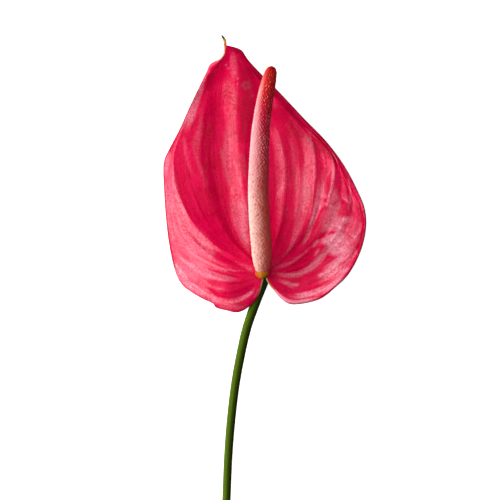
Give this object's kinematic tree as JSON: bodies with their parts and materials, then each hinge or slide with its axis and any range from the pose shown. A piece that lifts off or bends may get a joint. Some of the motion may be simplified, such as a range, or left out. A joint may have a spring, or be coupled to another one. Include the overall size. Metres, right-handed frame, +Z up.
{
  "type": "cut anthurium stem",
  "caption": "Cut anthurium lying on its back: glossy crimson-pink heart-shaped spathe, slender pale-to-red spadix and a long bowed green stem with a slanted cut.",
  "frame": {"origin": "under the middle of the flower's bounding box, on the surface that the flower lies on", "axes": "+Z up from the surface and out of the open face of the spathe, +Y from the cut end of the stem towards the tip of the spathe, +X to the right seen from above"},
  "size_m": [0.1014, 0.4206, 0.043],
  "materials": {
    "stem_skin": "satin, smooth green stalk with fine lengthwise lines",
    "spathe_skin": "waxy gloss, crimson pink, fine pebbled skin and raised veins",
    "stipe_skin": "satin, yellow-green to ochre",
    "spadix_florets": "matte beaded florets, cream-pink at the foot turning red at the end"
  },
  "bodies": {
    "root": {"stem": "stem_skin", "spathe": "spathe_skin", "spadix_stipe": "stipe_skin", "spadix": "spadix_florets"}
  },
  "joints": []
}
